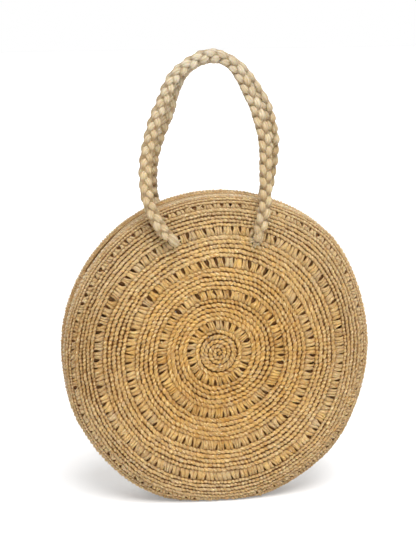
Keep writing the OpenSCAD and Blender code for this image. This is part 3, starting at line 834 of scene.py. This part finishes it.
def joining_row(side):
    """Smooth on the front, and a line of small knobs on the back"""
    weave = Weave()
    pitch, long = (5.6, 3.9) if side == "front" else (3.9, 2.3)
    stitched_row(weave, FACE_LENGTH + JOINING_WIDTH / 2, side, pitch=pitch, long=long, short=1.7,
                 width=0.62, tint=0.8, lift=0.9, knobs=0.5, sink=1.0, crease=0.6)
    weave.piece(side + "_joining_stitches", PALE_GOLDEN, "joining_raffia", "bag", side + "_joining_row")


# Zip sizes, as in the solids
POST_HALF, RUNNING_GAP = 0.45, 0.3
TAPE_WIDTH, TAPE_THICKNESS = 12.0, 0.8
COIL_WIDTH, COIL_HEIGHT = 2.4, 2.2
COIL_INNER = POST_HALF + RUNNING_GAP
TAPE_RADIUS = BAG_RADIUS - FABRIC
# Angles by which the tapes are tucked under at their ends, and by which the coils stop short
TAPE_TUCK, COIL_SHORT = math.radians(4), math.radians(3)
# The coil's turns, the radius of its wire and of its sewing cord, and how proud it stands of the tape
COIL_PITCH, COIL_WIRE, SEWING_CORD, COIL_PROUD = 2.0, 0.42, 0.6, 1.0
# The zip keeps to the solids' round as far as this angle in degrees, and to the soft rim so many further on
ZIP_EASE_FROM, ZIP_EASE_OVER = 40, 18


def zip_radius(angle):
    """Radius of the tape's outer face about the solids' axis, easing up with the soft rim at the top"""
    rim = fabric_point(RIM_MIDDLE, angle, "front")
    real = np.hypot(rim[..., 0], rim[..., 2] - CENTRE_HEIGHT) + FABRIC / 2
    degrees = np.degrees(angle)
    away = np.minimum(degrees - ZIP_EASE_FROM, 180 - ZIP_EASE_FROM - degrees)
    return TAPE_RADIUS + (real - BAG_RADIUS) * eased(np.clip(away / ZIP_EASE_OVER, 0, 1))


def rim_place(radius, angle, depth):
    """Points by their radius and angle about the solids' axis, and their depth"""
    radius, angle, depth = np.broadcast_arrays(radius, angle, depth)
    return np.stack([radius * np.cos(angle), depth, CENTRE_HEIGHT + radius * np.sin(angle)], -1)


def zip_tape(side):
    """A woven strip, rippled on its upper face"""
    weave = Weave()
    angle = np.linspace(ZIP_FROM - TAPE_TUCK, ZIP_TO + TAPE_TUCK, 260)
    radius = zip_radius(np.clip(angle, ZIP_FROM, ZIP_TO))
    inner = COIL_INNER + RUNNING_GAP
    widths = np.linspace(inner, inner + TAPE_WIDTH, 9)
    ring = np.concatenate([widths, widths[::-1]])
    drop = np.concatenate([np.zeros(len(widths)), np.full(len(widths), TAPE_THICKNESS)])
    ripple = 0.12 * np.sin(ring * 2.1) * (drop == 0)
    rings = rim_place(radius[:, None] - drop + ripple, angle[:, None], SIDES[side] * ring)
    fibre = leaf_places((angle * TAPE_RADIUS)[:, None], ring, drop)
    weave.tube(rings, fibre, tint=0.5, crease=0.0)
    weave.piece(side + "_zip_tape_weave", TAPE, "zip_tape", "bag", side + "_zip_tape")


def zip_coil(side):
    """A helix of nylon laid flat along the tape's edge, with its sewing cord"""
    weave = Weave()
    start, stop = ZIP_FROM + COIL_SHORT, ZIP_TO - COIL_SHORT
    loops = int((stop - start) * TAPE_RADIUS / COIL_PITCH)
    phase = np.linspace(0, 2 * math.pi * loops, loops * 12)
    angle = start + (stop - start) * phase / phase[-1]
    depth = COIL_INNER + COIL_WIDTH / 2 + (COIL_WIDTH / 2 - COIL_WIRE) * np.cos(phase)
    proud = COIL_PROUD * np.clip((angle - start) / 0.15, 0, 1) * np.clip((stop - angle) / 0.15, 0, 1)
    radius = zip_radius(angle) + proud + COIL_HEIGHT / 2 + (COIL_HEIGHT / 2 - COIL_WIRE) * np.sin(phase)
    plain_tube(weave, rim_place(radius, angle, SIDES[side] * depth), COIL_WIRE, sides=6)
    angle = np.linspace(start, stop, 240)
    middle = SIDES[side] * (COIL_INNER + COIL_WIDTH / 2)
    plain_tube(weave, rim_place(zip_radius(angle) + COIL_HEIGHT / 2, angle, middle), SEWING_CORD, sides=6)
    weave.piece(side + "_zip_coil_loops", COIL, "zip_coil", "bag", side + "_zip_coil")


# Handles: sizes as in the solids
HANDLE_SPAN, HANDLE_RISE = 100.0, 219.0
BINDING_RADIUS, BINDING_LENGTH, STRAIGHT_RUN = 7.2, 12.0, 8.0
ROOT_GAP, HANDLE_GAP = 0.4, 0.6
PLAIT_PERIOD, FIRST_PHASE = 44.6, 30.0
SOLID_LIFT, SOLID_HALF_THICKNESS = 3.7, 2.55
ROOT_HEIGHT = 0.76 * BAG_RADIUS
ROOT_ALONG = FIRST_OPENWORK + 3 * OPENWORK_PITCH
PIVOT_DEPTH = HALF_EDGE + 2.0 * (1 - (ROOT_ALONG / FACE_REACH) ** 2) + BINDING_RADIUS + ROOT_GAP
PIVOT_HEIGHT = CENTRE_HEIGHT + ROOT_HEIGHT
LEAN_REACH = PIVOT_DEPTH - SOLID_LIFT - SOLID_HALF_THICKNESS - HANDLE_GAP / 2
# How far a strand swings to each side of the plait's middle line and through it, and its own half sizes
PLAIT_SWING, PLAIT_LIFT = 3.8, 3.5
STRAND_HALF_WIDTH, STRAND_HALF_THICKNESS, STRAND_CORNERS = 3.7, 2.8, 30
STRANDS = {"a": 0, "b": 120, "c": 240}
HANDS = {-1: "left", 1: "right"}

# Side to side place of each handle, flare of its two ends, and its route: shares of the span, of the rise
# and of the lean
HANDLES = {
    "front": (-6.5, (38, 15), (
        (-0.737, 0.171, 0.02), (-0.805, 0.30, 0.18), (-0.80, 0.45, 0.43), (-0.738, 0.59, 0.66),
        (-0.645, 0.70, 0.813), (-0.53, 0.825, 0.915), (-0.385, 0.912, 0.962), (-0.155, 0.983, 0.99),
        (0.03, 1, 1), (0.215, 0.970, 0.985), (0.365, 0.903, 0.96), (0.487, 0.797, 0.89),
        (0.576, 0.70, 0.805), (0.648, 0.5397, 0.58), (0.643, 0.384, 0.32), (0.61, 0.235, 0.10))),
    "back": (3.0, (27, 27), (
        (-0.68, 0.2237, 0.08), (-0.74, 0.397, 0.345), (-0.712, 0.54, 0.58), (-0.63, 0.68, 0.775),
        (-0.557, 0.81, 0.89), (-0.432, 0.908, 0.96), (-0.23, 0.97, 0.985), (-0.02, 0.983, 1),
        (0.15, 0.962, 0.985), (0.32, 0.895, 0.96), (0.51, 0.765, 0.865), (0.68, 0.603, 0.67),
        (0.755, 0.429, 0.40), (0.71, 0.233, 0.10))),
}

# How far the real plaits hang to the right of the solids' curve, or with a minus to its left: share of the
# rise, then millimetres for the left leg and for the right leg
ASIDE = {
    "front": ((0, -1, -1), (0.1, -3.4, -1), (0.2, -4.4, -0.2), (0.35, -3.2, -2.6), (0.5, -1.8, -2.4),
              (0.6, -0.8, -2.4), (0.7, -0.6, -3.2), (0.78, 1.0, -3.4), (0.9, -1.6, -2.6), (1.02, -0.5, 0)),
    "back": ((0, 0, 0), (0.05, -3.6, 0), (0.1, -6.8, 0), (0.15, -8.2, 0), (0.2, -8.0, 0),
             (0.25, -6.6, 0), (0.33, -3.8, -1.2), (0.41, -1.2, -1.8), (0.5, 1.5, 0), (0.6, 3.2, 0.8),
             (0.72, 4.6, 3.6), (0.82, 4.0, 2.0), (0.9, 3.0, 1.0), (1.02, 0.5, 0)),
}
# Samples of the line over which one leg's places give way to the other's
LEG_CHANGE = 30.0


def root_place(side, sign):
    """Where a handle is sewn on"""
    return np.array([HANDLES[side][0] + sign * HANDLE_SPAN / 2, SIDES[side] * PIVOT_DEPTH, PIVOT_HEIGHT])


def root_direction(side, sign):
    """Direction in which a plait leaves its sewn end"""
    flare = math.radians(HANDLES[side][1][0 if sign < 0 else 1])
    return np.array([sign * math.sin(flare), 0, math.cos(flare)])


def ease_aside(line, side):
    """Moves a handle's line sideways, to where the real plait hangs"""
    shares, left, right = zip(*ASIDE[side])
    rise = (line[:, 2] - PIVOT_HEIGHT) / HANDLE_RISE
    peak = int(np.argmax(line[:, 2]))
    on_right = np.clip((np.arange(len(line)) - peak) / LEG_CHANGE + 0.5, 0, 1)
    if line[0, 0] > line[-1, 0]:
        on_right = 1 - on_right
    on_left = 1 - on_right
    moved = line.copy()
    moved[:, 0] += on_left * np.interp(rise, shares, left) + on_right * np.interp(rise, shares, right)
    return moved


def handle_points(side):
    """Points that a handle passes through, as if it were at the front"""
    shift, _, shares = HANDLES[side]
    runs = (0, BINDING_LENGTH, BINDING_LENGTH + STRAIGHT_RUN)
    left, right = (root_place("front", sign) - [HANDLES["front"][0] - shift, 0, 0] for sign in (-1, 1))
    points = [left + run * root_direction(side, -1) for run in runs]
    for across, rise, lean in shares:
        depth = lean * LEAN_REACH - PIVOT_DEPTH
        points.append([shift + across * HANDLE_SPAN, depth, PIVOT_HEIGHT + rise * HANDLE_RISE])
    points += [right + run * root_direction(side, 1) for run in runs[::-1]]
    return np.array(points)


def smooth_curve(points):
    """A smooth line through points, with 24 samples between each two"""
    t = np.linspace(0, 1, 24, endpoint=False)[:, None]
    padded = np.concatenate([[2 * points[0] - points[1]], points, [2 * points[-1] - points[-2]]])
    line = []
    for a, b, c, d in zip(padded, padded[1:], padded[2:], padded[3:]):
        bend = 2 * b + (c - a) * t + (2 * a - 5 * b + 4 * c - d) * t ** 2
        line.append(0.5 * (bend + (3 * b - a - 3 * c + d) * t ** 3))
    return np.concatenate(line + [points[-1:]])


def handle_line(side, spacing=1.15):
    """Middle line of a handle, evenly spaced, from its left end to its right end"""
    line = smooth_curve(handle_points(side)) * [1, -SIDES[side], 1]
    lengths = lengths_along(line)
    even = np.linspace(0, lengths[-1], int(lengths[-1] / spacing))
    line = np.stack([np.interp(even, lengths, line[:, axis]) for axis in range(3)], -1)
    # The mean of nine samples rounds off what kinks are left, except at the ends
    kernel = np.ones(9) / 9
    inner = np.stack([np.convolve(line[:, axis], kernel, "same") for axis in range(3)], -1)
    line[6:-6] = inner[6:-6]
    return ease_aside(line, side), even


def plait_frame(side):
    """A handle's line with its lengths and its directions along, across and through the plait"""
    line, lengths = handle_line(side)
    tangent = unit(np.gradient(line, axis=0))
    across = unit(np.cross(tangent, [0, -SIDES[side], 0]))
    through = np.cross(across, tangent)
    if side == "back":
        return line, lengths, tangent, -across, -through
    return line, lengths, tangent, across, through


def strand(side, letter):
    """One of a plait's three strands: folded leaf, fat where it shows and pinched where it dives"""
    weave = Weave()
    line, lengths, tangent, across, through = plait_frame(side)
    phase = np.radians(FIRST_PHASE + STRANDS[letter]) + 2 * math.pi * lengths / PLAIT_PERIOD
    # All three strands of a plait loosen and tighten together
    phase = phase + 0.10 * slow_noise(len(phase), 30, False, np.random.default_rng(7))
    end = np.minimum(lengths, lengths[-1] - lengths)
    gather = 0.26 + 0.74 * eased(np.clip((end - 3) / 13, 0, 1))
    swing = gather * PLAIT_SWING * (1.08 * np.sin(phase) + 0.12 * np.sin(3 * phase))
    dive = gather * PLAIT_LIFT * np.sin(2 * phase)
    middle = line + swing[:, None] * across + dive[:, None] * through
    run = unit(np.gradient(middle, axis=0))
    flat = unit(np.cross(run, through))
    above = np.cross(flat, run)
    corner = even_corners(STRAND_CORNERS)
    roll = 0.35 * slow_noise(len(lengths), 22, False)[:, None]
    folds = (1 + 0.045 * np.cos(6 * corner + 3 * roll) + 0.03 * np.cos(11 * corner - 5 * roll)
             + 0.02 * np.cos(17 * corner + 2 * roll))
    climb = tangent[:, 2]
    shows = np.sin(2 * phase - 0.7 * climb)[:, None]
    fat = 0.87 + 0.27 * np.abs(shows) + 0.04 * slow_noise(len(lengths), 9, False)[:, None]
    size = fat * folds * (0.55 + 0.45 * gather)[:, None]
    rings = rings_round(middle, flat, above, STRAND_HALF_WIDTH * size * np.cos(corner),
                        STRAND_HALF_THICKNESS * size * np.sin(corner))
    fibre = leaf_places(lengths[:, None] + new_leaf(), STRAND_HALF_WIDTH * np.cos(corner) + 0.5 * roll,
                        STRAND_HALF_THICKNESS * np.sin(corner) + 0.3 * roll)
    tint = 0.66 + 0.12 * slow_noise(len(lengths), 12, False)[:, None] + 0.07 * np.cos(6 * corner + 3 * roll)
    # Painted highlight on the upper end of each lobe, where the strand comes over and faces the light, and
    # paler all along the right leg
    over = np.abs(np.sin(phase - 0.85 * climb))[:, None] ** 3
    tint = tint + 0.30 * over - 0.13 + 0.15 * np.clip(line[:, :1] / 40, 0, 1)
    # Painted shade where the strand dives under, in its folds and along its edges
    crease = 0.6 * (1 - np.abs(shows)) ** 2 + 0.2 * (folds < 0.955) + 0.25 * np.abs(np.cos(corner)) ** 8
    # Paler towards the handle's top, partly the leaf's own bleaching and partly painted highlight where it
    # faces the light
    high = np.clip((middle[:, 2] - PIVOT_HEIGHT) / HANDLE_RISE - 0.45, 0, 1)[:, None]
    hue = 1.6 * high + 0.15 * slow_noise(len(lengths), 14, False)[:, None]
    weave.tube(rings, fibre, tint, np.clip(crease, 0, 0.75), hue=hue)
    weave.piece(f"{side}_plait_strand_{letter}", CREAM, "handle_raffia", side + "_handle",
                f"{side}_handle_strand_{letter}")


# Where a gathered end starts, along the plait from its pivot, and its radius near there: left, then right
GATHERED = {-1: (-5.2, 3.8), 1: (-2.6, 4.8)}


def bound_end(side, sign):
    """Gathered end of a plait, its leaf ends drawn together over the pivot"""
    weave = Weave()
    direction = root_direction(side, sign)
    low, foot = GATHERED[sign]
    reach = np.linspace(low, 14, 26)
    radius = np.interp(reach, [low, low + 1.2, low + 3.4, 3, 8, 12, 14],
                       [0.4, 0.6 * foot, foot, 5.2, 4.8, 3.6, 2.0])
    points = root_place(side, sign) + reach[:, None] * direction
    through = np.array([0, -SIDES[side], 0.0])
    across = unit(np.cross(direction, through))
    corner = even_corners(40)
    turned = corner + 0.035 * reach[:, None] * sign
    folds = 1 + 0.07 * np.cos(5 * turned) + 0.04 * np.cos(11 * turned + 1) + 0.02 * np.cos(19 * turned)
    size = radius[:, None] * folds
    rings = rings_round(points, across, through, 1.12 * size * np.cos(corner), 0.98 * size * np.sin(corner))
    fibre = leaf_places(reach[:, None] + 40 * sign + 200, size * np.cos(turned), size * np.sin(turned))
    # Painted shade in the folds' hollows, and painted light on their ridges through the tint
    crease = np.clip(0.5 * (0.97 - folds) / 0.1, 0, 0.5)
    weave.tube(rings, fibre, 0.56 + 0.12 * np.cos(5 * turned), crease, hue=0.3 if sign < 0 else 0.0)
    weave.piece(f"{side}_{HANDS[sign]}_gathered_end", CREAM, "handle_raffia", side + "_handle",
                f"{side}_{HANDS[sign]}_binding")


# Depth of the knots inside the bag, and the size of a knot's loops and of its cord
KNOT_DEPTH = HALF_EDGE - FABRIC - 8
KNOT_RADIUS, KNOT_CORD = 4.1, 2.1
# Leaf ends that hang from a knot, and those on the face: left, then right
ENDS_INSIDE, ENDS_ON_FACE = 7, {-1: 9, 1: 15}


def knotted_tail(weave, base, inside, facing):
    """The tail through the fabric and an overhand knot in its end"""
    share = np.linspace(0, 1, 16)
    sag = np.interp(share, [0, 0.3, 1], [0, -1.2, -1.2])
    points = np.stack([np.full(16, base[0]), np.linspace(base[1], inside, 16), base[2] + sag], -1)
    radius = np.interp(share, [0, 0.15, 0.4, 1], [3.4, 4.1, 3.1, 3.0])
    # The tail and its knot carry a little painted shade
    plain_tube(weave, points, radius, sides=16, tint=0.48, crease=0.25)
    turn = np.linspace(0, 2 * math.pi, 90)
    knot = np.stack([KNOT_RADIUS * (np.sin(turn) + 0.55 * np.sin(2 * turn)), KNOT_CORD * np.sin(3 * turn),
                     KNOT_RADIUS * (np.cos(turn) - 0.55 * np.cos(2 * turn))], -1)
    middle = [base[0], inside - facing * 1.5, base[2]]
    plain_tube(weave, knot + middle, KNOT_CORD, sides=14, tint=0.5, crease=0.2)


def ends_inside(weave, base, inside, facing):
    """Leaf ends that hang from the knot"""
    t = np.linspace(0, 1, 12)[:, None]
    for _ in range(ENDS_INSIDE):
        spread = rng.uniform(-0.5, 0.5)
        length = rng.uniform(9, 15)
        start = np.array([base[0] + rng.uniform(-2, 2), inside - facing * rng.uniform(0, 3), base[2] - 4])
        hang = start + t * [length * math.sin(spread), 0, -length] + np.sin(t * 3) * [0.6, 0.8 * facing, 0]
        # A little painted shade on the ends inside the bag
        plain_tube(weave, hang, 1.1 * (1 - 0.6 * t[:, 0]), sides=8, tint=0.5, crease=0.1)


def ends_on_face(weave, base, side, sign):
    """Leaf ends that splay out over the stitches, all round on the left and downwards on the right"""
    t = np.linspace(0, 1, 12)
    height = np.interp(t, [0, 0.35, 1], [4.9, 3.2, 1.5])
    for _ in range(ENDS_ON_FACE[sign]):
        heading = rng.uniform(0, 2 * math.pi) if sign < 0 else rng.uniform(math.pi * 0.9, math.pi * 2.1)
        length = rng.uniform(4.5, 7.5) if sign < 0 else rng.uniform(5, 10)
        reach = 1.5 + length * t
        x, z = base[0] + reach * math.cos(heading), base[2] + reach * math.sin(heading) - 1
        up = z - MIDDLE_HEIGHT
        angle = np.arctan2(up / TALL_SHARE, x / WIDE_SHARE)
        along = np.hypot(up / TALL_SHARE, x / WIDE_SHARE) * STRETCHED_TO[0] / STRETCHED_TO[1]
        points, _, standing = fabric_frame(along, angle, side)
        plain_tube(weave, points + standing * height[:, None], 2.1 * (1 - 0.7 * t), sides=8,
                   tint=0.62 + rng.normal(0, 0.1), hue=0.0)


def tail_knot(side, sign):
    """Tail from a handle's end through the fabric, knotted inside, with loose leaf ends on the face"""
    weave = Weave()
    facing = SIDES[side]
    base = root_place(side, sign)
    knotted_tail(weave, base, facing * KNOT_DEPTH, facing)
    ends_inside(weave, base, facing * KNOT_DEPTH, facing)
    ends_on_face(weave, base, side, sign)
    weave.piece(f"{side}_{HANDS[sign]}_tail_knot", CREAM, "handle_raffia", "bag",
                f"{side}_{HANDS[sign]}_knot")


# Fine fibres that stand off each face, and the furthest from its middle
HAIRS, HAIRS_REACH = 46, 190


def stray_hairs(side):
    """Fine fibres that stand off the stitches"""
    weave = Weave()
    t = np.linspace(0, 1, 10)
    for _ in range(HAIRS):
        along, angle = HAIRS_REACH * math.sqrt(rng.random()), rng.uniform(0, 2 * math.pi)
        length, heading = rng.uniform(4, 13), rng.uniform(-1.2, 1.2)
        place = along + length * math.sin(heading) * t
        turn = angle + length * math.cos(heading) * t / max(along, 20)
        points, _, standing = fabric_frame(place, turn, side)
        height = 2.2 + rng.uniform(0.5, 2.0) * np.sin(math.pi * t ** 0.8)
        plain_tube(weave, points + standing * height[:, None], 0.16 * (1 - 0.6 * t), sides=5, tint=0.85)
    weave.piece(side + "_stray_hairs", PALE_GOLDEN, "bag_raffia", "bag")


def make_bag():
    """Every piece of the visual model, and brass on the zip's metal solids"""
    for side in SIDES:
        spiral_centre(side)
        for row in range(OPENWORK_ROWS):
            openwork(row, side)
            plain_rows(row, side)
        joining_row(side)
        top_band(side)
        zip_tape(side)
        zip_coil(side)
        stray_hairs(side)
        for letter in STRANDS:
            strand(side, letter)
        for sign in HANDS:
            bound_end(side, sign)
            tail_knot(side, sign)
    side_band()
    for name in ("zip_top_stops", "zip_bottom_stop", "zip_slider", "zip_pull"):
        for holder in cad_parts[name].material_slots:
            holder.material = BRASS


# Camera, fitted to the photograph: its turn and rise round the bag's middle, and how far away it stands
PICTURE_WIDE, PICTURE_TALL = 416, 557
CAMERA_TURN, CAMERA_RISE = math.radians(-9.52), math.radians(14.89)
CAMERA_AWAY = 2200.0
# Pixels to a millimetre at the bag's middle, and where that middle is seen
PIXEL_SCALE = 0.8012
BAG_MIDDLE_PIXEL = (215.2, 346.1)
FOCUS_PIXELS = PIXEL_SCALE * CAMERA_AWAY
SENSOR_WIDTH = 36.0

# Studio: strength of the world's light and of the lamp, with the lamp's direction and softness in degrees
WORLD_LIGHT, KEY_LIGHT = 0.74, 3.4
KEY_TOWARD, KEY_SOFTNESS = (0.06, -0.70, 1.18), 38
# Half the floor's width in metres, and the backdrop's place just before its far edge
FLOOR_REACH, BACKDROP = 6, 5.9


def add_camera():
    data = bpy.data.cameras.new("camera")
    camera = bpy.data.objects.new("camera", data)
    bpy.context.scene.collection.objects.link(camera)
    bpy.context.scene.camera = camera
    data.sensor_width = SENSOR_WIDTH
    data.lens = FOCUS_PIXELS * SENSOR_WIDTH / PICTURE_TALL
    data.clip_start, data.clip_end = 0.05, 50
    target = Vector((0, 0, MIDDLE_HEIGHT * MM))
    toward = Vector((math.sin(CAMERA_TURN) * math.cos(CAMERA_RISE),
                     -math.cos(CAMERA_TURN) * math.cos(CAMERA_RISE), math.sin(CAMERA_RISE)))
    camera.location = target + toward * (CAMERA_AWAY * MM)
    # The picture's centre lies beside the bag's middle, so the camera looks past it by these angles
    yaw = math.atan2(BAG_MIDDLE_PIXEL[0] - PICTURE_WIDE / 2, FOCUS_PIXELS)
    pitch = math.atan2(BAG_MIDDLE_PIXEL[1] - PICTURE_TALL / 2, FOCUS_PIXELS)
    right = Vector((math.cos(CAMERA_TURN), math.sin(CAMERA_TURN), 0))
    above = toward.cross(right)
    ahead = -toward * math.cos(pitch) + above * math.sin(pitch)
    ahead = ahead * math.cos(yaw) - right * math.sin(yaw)
    camera.rotation_euler = ahead.to_track_quat("-Z", "Y").to_euler()


def add_key_lamp():
    data = bpy.data.lights.new("key", "SUN")
    data.angle, data.energy = math.radians(KEY_SOFTNESS), KEY_LIGHT
    lamp = bpy.data.objects.new("key", data)
    bpy.context.scene.collection.objects.link(lamp)
    lamp.rotation_euler = (-Vector(KEY_TOWARD)).to_track_quat("-Z", "Y").to_euler()


def add_world():
    world = bpy.data.worlds.new("studio")
    bpy.context.scene.world = world
    world.use_nodes = True
    world.node_tree.nodes["Background"].inputs[0].default_value = (1.0, 1.0, 1.0, 1.0)
    world.node_tree.nodes["Background"].inputs[1].default_value = WORLD_LIGHT


def white_paper(name, shade, glow):
    """White surface that shows white to the camera and to gloss, and still takes the shadow"""
    finish = Finish(name)
    path = finish.add("ShaderNodeLightPath", output="Is Camera Ray")
    gloss = finish.add("ShaderNodeLightPath", output="Is Glossy Ray")
    through = finish.add("ShaderNodeLightPath", output="Is Transmission Ray")
    seen = finish.clamp(path + gloss + through, 0.0, 1.0)
    plain = finish.add("ShaderNodeBsdfDiffuse", {}, {"Color": (shade, shade, shade)})
    bright = finish.add("ShaderNodeEmission", {}, {"Color": (1.0, 1.0, 1.0), "Strength": 1.0})
    both = finish.add("ShaderNodeMixShader", {}, {0: seen * glow, 1: plain, 2: bright})
    finish.add("ShaderNodeOutputMaterial", {}, {"Surface": both})
    return finish.material


def flat_sheet(name, corners, material):
    mesh = bpy.data.meshes.new(name)
    mesh.from_pydata(corners, [], [tuple(range(len(corners)))])
    mesh.materials.append(material)
    sheet = bpy.data.objects.new(name, mesh)
    bpy.context.scene.collection.objects.link(sheet)


def add_studio():
    wide = FLOOR_REACH
    flat_sheet("floor", [(-wide, -wide, 0), (wide, -wide, 0), (wide, wide, 0), (-wide, wide, 0)],
               white_paper("floor_paper", 0.88, 0.25))
    flat_sheet("backdrop", [(-wide, BACKDROP, 0), (wide, BACKDROP, 0), (wide, BACKDROP, wide),
                            (-wide, BACKDROP, wide)], white_paper("backdrop_paper", 0.92, 1.0))
    add_world()
    add_key_lamp()
    bpy.context.scene.view_settings.view_transform = "Standard"


add_camera()
make_bag()
add_studio()
